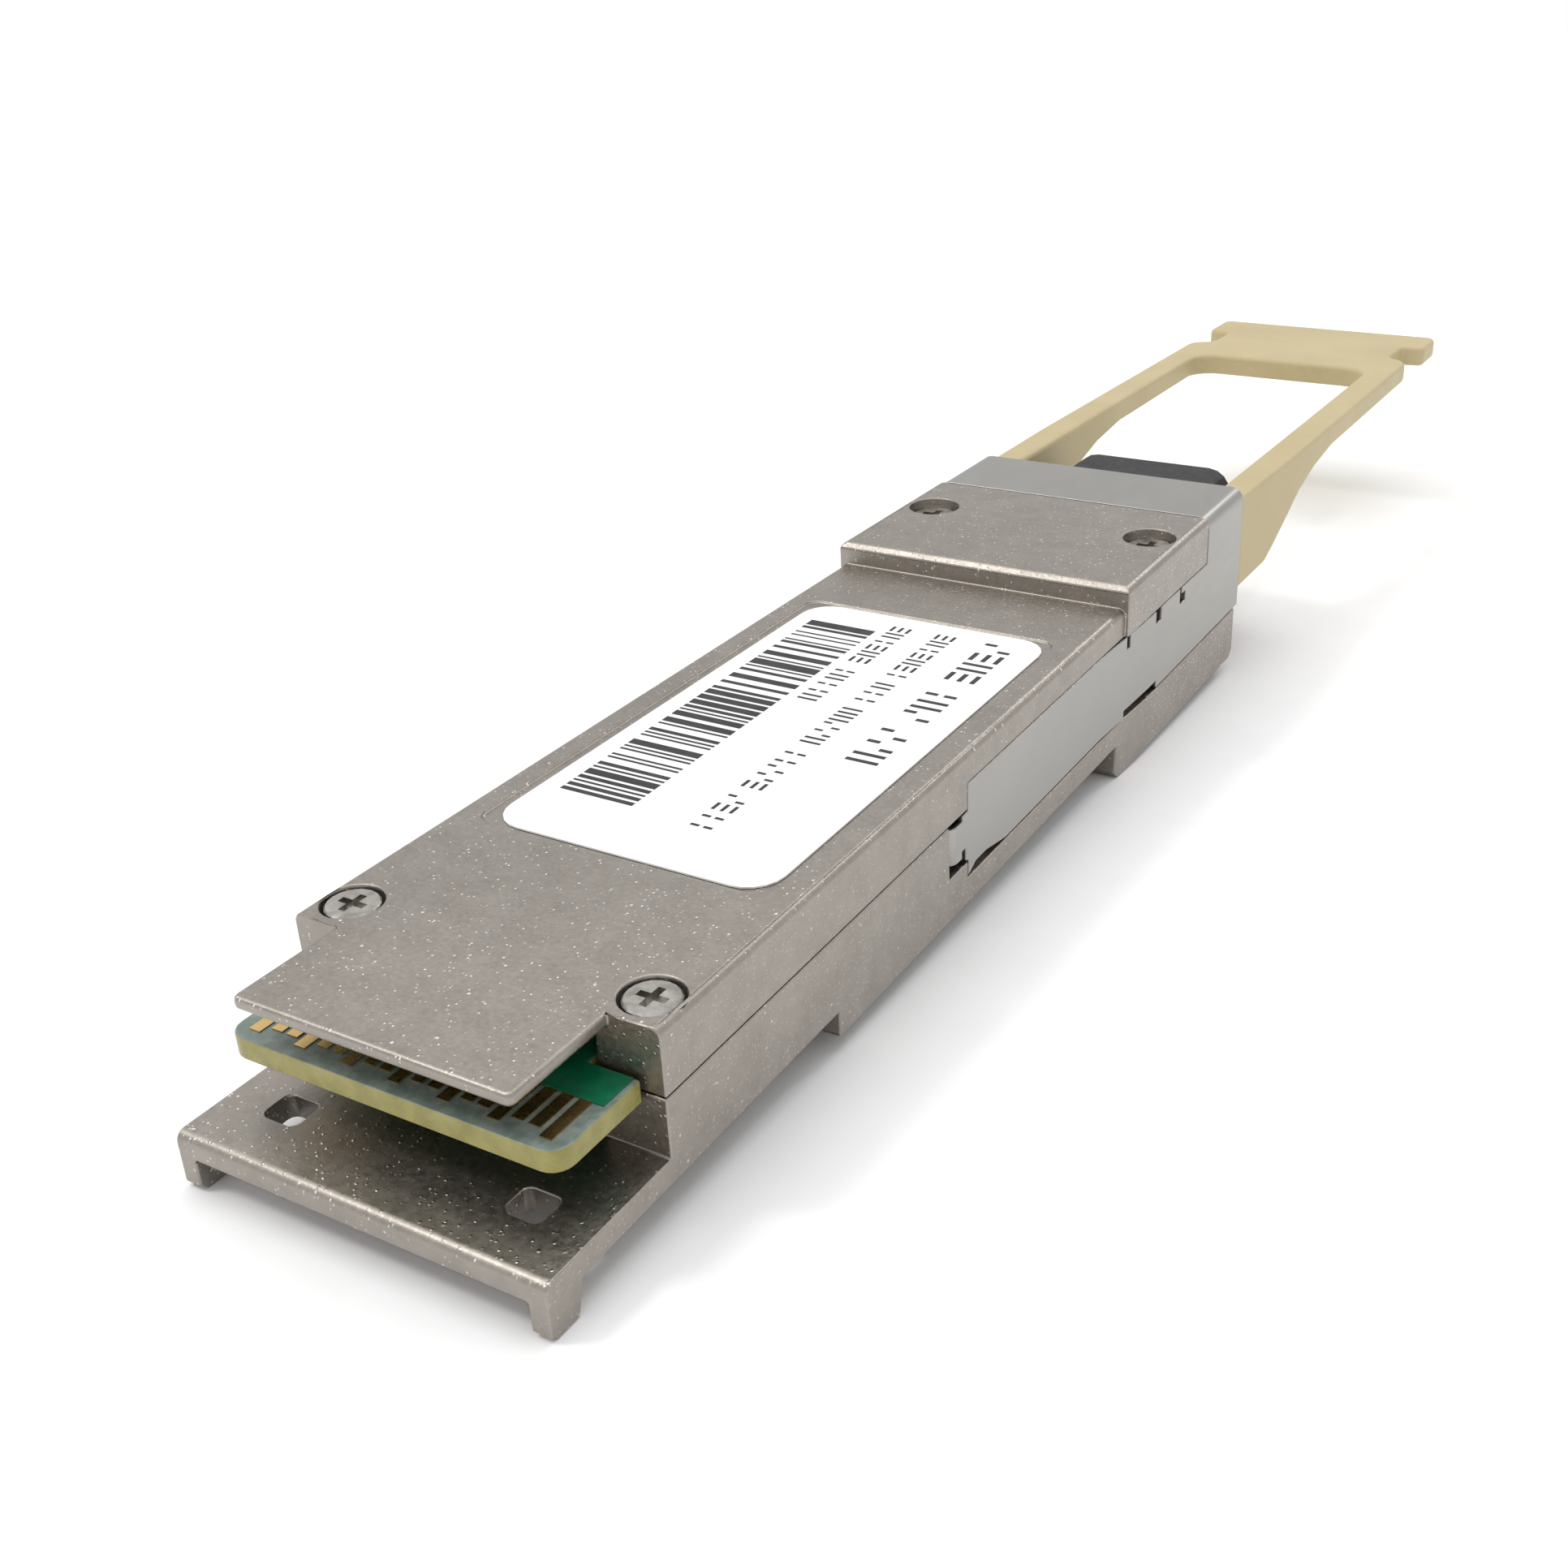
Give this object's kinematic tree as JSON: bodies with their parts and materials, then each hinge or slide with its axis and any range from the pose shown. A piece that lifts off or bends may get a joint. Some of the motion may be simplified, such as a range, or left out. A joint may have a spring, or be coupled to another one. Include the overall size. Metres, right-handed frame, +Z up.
{
  "type": "optical transceiver module",
  "caption": "Pluggable fibre-optic transceiver with a two-part metal shell, edge-contact card, dust-plugged fibre port and a pull tab that works the side release arms",
  "frame": {"origin": "Centre of the base of the bounding box.", "axes": "+Y runs along the module from the card edge to the pull tab. +Z is up, from the heat-sink pad on the underside to the label face. +X is across the width."},
  "size_m": [0.0194, 0.1254, 0.0118],
  "materials": {
    "blasted_nickel": "nickel plating over bead-blasted zinc casting, satin with a fine glitter",
    "slide_steel": "plain pressed stainless sheet",
    "screw_steel": "nickel-plated steel",
    "spring_steel": "drawn wire",
    "pin_steel": "ground and polished",
    "beige_tab": "soft satin moulding",
    "black_plug": "matt elastomer",
    "white_label": "smooth coated film with plain printed bars",
    "card_green": "glass-epoxy laminate under green solder mask",
    "contact_gold": "hard gold plating, worn satin",
    "chip_black": "moulded epoxy",
    "die_grey": "polished semiconductor",
    "capacitor_tan": "sintered ceramic",
    "inductor_ferrite": "sintered ferrite",
    "lens_resin": "clear amber optical resin",
    "ferrule_resin": "filled thermoset",
    "fibre_aqua": "acrylate ribbon",
    "port_moulding": "glass-filled moulding",
    "gap_pad": "soft thermal filler",
    "gasket_grey": "silver-filled elastomer"
  },
  "bodies": {
    "shell": {"housing_base": "blasted_nickel", "top_cover": "blasted_nickel", "label": "white_label", "cover_screw_host_left": "screw_steel", "cover_screw_host_right": "screw_steel", "cover_screw_nose_left": "screw_steel", "cover_screw_nose_right": "screw_steel", "return_spring_left": "spring_steel", "return_spring_right": "spring_steel", "paddle_card": "card_green", "edge_contacts_top": "contact_gold", "edge_contacts_bottom": "contact_gold", "laser_driver_chip": "chip_black", "receiver_chip": "chip_black", "microcontroller": "chip_black", "power_controller": "chip_black", "power_inductor_1": "inductor_ferrite", "power_inductor_2": "inductor_ferrite", "filter_capacitor_1": "capacitor_tan", "filter_capacitor_2": "capacitor_tan", "filter_capacitor_3": "capacitor_tan", "filter_capacitor_4": "capacitor_tan", "laser_array": "die_grey", "photodiode_array": "die_grey", "lens_block": "lens_resin", "fibre_ribbon": "fibre_aqua", "mt_ferrule": "ferrule_resin", "guide_pin_left": "pin_steel", "guide_pin_right": "pin_steel", "pin_keeper": "slide_steel", "fibre_port_receptacle": "port_moulding", "emi_gasket": "gasket_grey", "thermal_pad": "gap_pad"},
    "release_slide": {"release_slide": "slide_steel", "pull_tab": "beige_tab"},
    "dust_plug": {"dust_plug": "black_plug"}
  },
  "joints": [
    {"name": "release_pull", "type": "slide", "parent": "shell", "child": "release_slide", "axis": [0, 1, 0], "range_m": [0, 0.0026], "stiffness_N_per_m": 400, "springref_m": -0.002, "deforming": ["return_spring_left", "return_spring_right"]},
    {"name": "dust_plug_pull", "type": "slide", "parent": "shell", "child": "dust_plug", "axis": [0, 1, 0], "range_m": [0, 0.02]}
  ]
}
